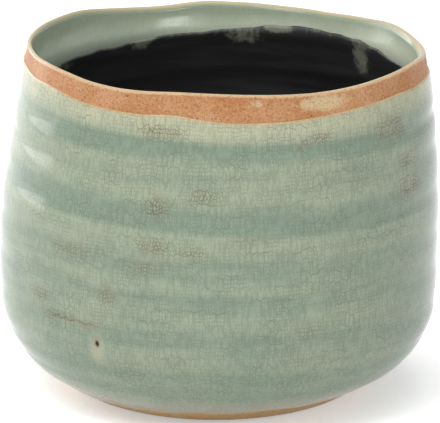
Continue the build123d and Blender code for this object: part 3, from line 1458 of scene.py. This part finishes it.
@dataclass
class WaterproofLining(Layer):
    """Black coat over the lower inside and the floor, with an uneven brushed edge.

    Args:
        finish: what it is made of.
        thickness: of the coat.
        carried: thickness of the glaze under it.
        edge: height of the edge against degrees round the pot.
        ragged: unevenness of that edge.
        taper: how far from its edge it reaches its thickness.
        worn: how worn it is along its edge.
        worn_reach: how far down that goes.
        gaps: where the brush left the glaze showing.
    """

    finish: Lining = Lining()
    thickness: float = 0.5
    carried: float = 0.6
    edge: Curve = Curve(
        (
            (-240.0, 126.0), (-200.0, 128.0), (-180.0, 125.4), (-165.0, 124.6), (-150.0, 123.2),
            (-125.0, 121.2), (-90.0, 121.0), (-40.0, 121.6), (0.0, 122.2), (40.0, 121.8), (90.0, 121.4),
            (114.0, 123.2), (135.0, 126.9), (160.0, 128.0), (180.0, 125.4), (195.0, 124.6), (210.0, 123.2),
        )
    )
    ragged: Ragged = Ragged(0.55, 6, 44, 11)
    taper: float = 1.2
    worn: float = 0.35
    worn_reach: float = 3.5
    gaps: tuple[Patch, ...] = (
        Patch(-152, 121.5, 3.6, 2.4, 0.8),
        Patch(174, 122.5, 6.0, 3.2, 0.75),
        Patch(163, 126.5, 5.0, 2.0, 0.8),
        Patch(131.5, 119.3, 3.8, 7.0, 0.95),
        Patch(-118, 119.0, 5.0, 1.6, 0.6),
        Patch(30, 119.5, 6.0, 1.6, 0.6),
    )

    def build(self) -> None:
        """Builds and dresses the piece."""
        top = self.edge.at(np.degrees(self.turns)) + self.ragged.at(self.turns)
        shell = Shell("brushed_lining", self.form, self.turns)
        radius, height = self.form.floor(self.carried + self.thickness)
        shell.add(radius, height)
        wall = self.rows(height[-1], top, 1 - np.linspace(1, 0, 90)[1:] ** 1.3)
        share = np.clip((top[:, None] - wall) / self.taper, 0, 1)
        shell.add(self.inside(wall) - self.carried - self.rounded(share, self.thickness), wall)
        self.down(shell, top, self.carried - self.sink)
        turn, _, height = shell.grid()
        near = self.worn * (1 - eased(top[:, None] - height, 0.0, self.worn_reach))
        shell.masks[Mask.SMEAR] = np.clip(near + marks(self.gaps, turn, height), 0, 1)
        self.settle(shell, self.finish, "brushed_black_coat", "waterproof_lining")


@dataclass(frozen=True)
class Lamp:
    """Soft flat light, placed and sized in metres.

    Args:
        name: of the light.
        place: of its middle.
        target: what it faces.
        width: from side to side.
        height: up and down.
        power: in watts.
        shape: its outline.
    """

    name: str
    place: tuple[float, float, float]
    target: tuple[float, float, float]
    width: float
    height: float
    power: float
    shape: LampShape = LampShape.SQUARE

    def build(self) -> None:
        """Hangs the light."""
        light = bpy.data.lights.new(self.name, "AREA")
        light.shape, light.energy = self.shape.value, self.power
        light.size, light.size_y = self.width, self.height
        lamp = bpy.data.objects.new(self.name, light)
        lamp.location = self.place
        facing = Vector(self.target) - Vector(self.place)
        lamp.rotation_euler = facing.to_track_quat("-Z", "Y").to_euler()
        lamp.visible_camera = False
        bpy.context.scene.collection.objects.link(lamp)
        log.info("%s hung", self.name)


@dataclass
class Studio:
    """Pale floor, even light all round and soft lamps.

    Args:
        floor_reach: half the floor's side, in metres.
        floor_level: its height, just below the foot, in metres.
        floor_grey: how much light it throws back.
        floor_glow: what it lacks of white where it is looked at.
        ambient: strength of the even light.
        lamps: soft lamps.
    """

    floor_reach: float = 4.0
    floor_level: float = -0.05 * MM
    floor_grey: float = 0.88
    floor_glow: float = 0.42
    ambient: float = 0.4
    lamps: tuple[Lamp, ...] = (
        Lamp("key_front", (-0.72, -0.82, 1.45), (0.0, 0.0, 0.08), 0.8, 0.8, 12.0),
        Lamp("fill_front", (0.15, -0.8, 1.5), (0.0, 0.0, 0.1), 1.0, 1.0, 5.0),
        Lamp("window_right", (0.8, -1.2, 0.75), (0.0, 0.0, 0.13), 0.55, 0.13, 2.6, LampShape.ROUND),
        Lamp("panel_left", (-0.88, 0.66, 0.38), (0.0, 0.0, 0.12), 1.0, 0.7, 7.8),
        Lamp("top_soft", (0.1, 0.1, 1.6), (0.0, 0.0, 0.08), 1.2, 1.2, 6.0),
    )

    def build(self) -> None:
        """Sets the stage."""
        self._floor()
        self._world()
        for lamp in self.lamps:
            lamp.build()

    def _floor(self) -> None:
        """Lays a floor that looks white and keeps the pot's shadow."""
        mesh = bpy.data.meshes.new("pale_floor")
        sides = ((-1, -1), (1, -1), (1, 1), (-1, 1))
        corners = [(x * self.floor_reach, y * self.floor_reach, self.floor_level) for x, y in sides]
        mesh.from_pydata(corners, [], [(0, 1, 2, 3)])
        floor = bpy.data.objects.new("pale_floor", mesh)
        bpy.context.scene.collection.objects.link(floor)
        material = bpy.data.materials.new("pale_floor")
        material.use_nodes = True
        graph = Graph(material.node_tree)
        shader = material.node_tree.nodes["Principled BSDF"]
        shader.inputs["Base Color"].default_value = (*[self.floor_grey] * 3, 1.0)
        shader.inputs["Roughness"].default_value = 1.0
        shader.inputs["Specular IOR Level"].default_value = 0.0
        shader.inputs["Emission Color"].default_value = WHITE
        glow = graph.math("MULTIPLY", graph.looked_at(), self.floor_glow)
        graph.feed(shader.inputs["Emission Strength"], glow)
        mesh.materials.append(material)
        log.info("%s laid", floor.name)

    def _world(self) -> None:
        """Gives even light, and plain white behind the pot."""
        world = bpy.data.worlds.new("studio")
        bpy.context.scene.world = world
        world.use_nodes = True
        graph = Graph(world.node_tree)
        background = world.node_tree.nodes["Background"]
        background.inputs["Color"].default_value = WHITE
        graph.feed(background.inputs["Strength"], graph.math("MAXIMUM", graph.looked_at(), self.ambient))


@dataclass(frozen=True)
class PhotoCamera:
    """Camera that was fitted to the pot's outline and the ellipse of its rim.

    Args:
        aim_height: height of the point it looks at, in metres.
        distance: from that point, in metres.
        elevation: degrees above the horizon.
        lens: focal length in millimetres.
        sensor: width of its sensor in millimetres.
        far: how far it sees, in metres.
    """

    aim_height: float = 0.0699
    distance: float = 2.125
    elevation: float = 15.7
    lens: float = 447.6
    sensor: float = 36.0
    far: float = 50.0

    def build(self) -> None:
        """Sets up the camera."""
        data = bpy.data.cameras.new("photo_camera")
        data.lens, data.sensor_width, data.clip_end = self.lens, self.sensor, self.far
        camera = bpy.data.objects.new("photo_camera", data)
        tilt = math.radians(self.elevation)
        back, up = self.distance * math.cos(tilt), self.distance * math.sin(tilt)
        camera.location = (0.0, -back, self.aim_height + up)
        camera.rotation_euler = (math.pi / 2 - tilt, 0.0, 0.0)
        bpy.context.scene.collection.objects.link(camera)
        bpy.context.scene.camera = camera
        log.info("%s set", camera.name)


def write_sizes() -> None:
    """Brings the scene's placements up to date."""
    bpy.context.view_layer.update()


def main() -> None:
    """Builds the pot from the clay outwards, then the studio and the camera."""
    logging.basicConfig(level=logging.INFO, format="%(name)s: %(message)s")
    bpy.context.scene.view_settings.view_transform = "Standard"
    form, effects = ThrownForm(), Effects()
    for layer in (ClayBody, OuterGlaze, InnerGlaze, WaterproofLining):
        layer(form, effects).build()
    Studio().build()
    PhotoCamera().build()
    write_sizes()


if __name__ == "__main__":
    main()
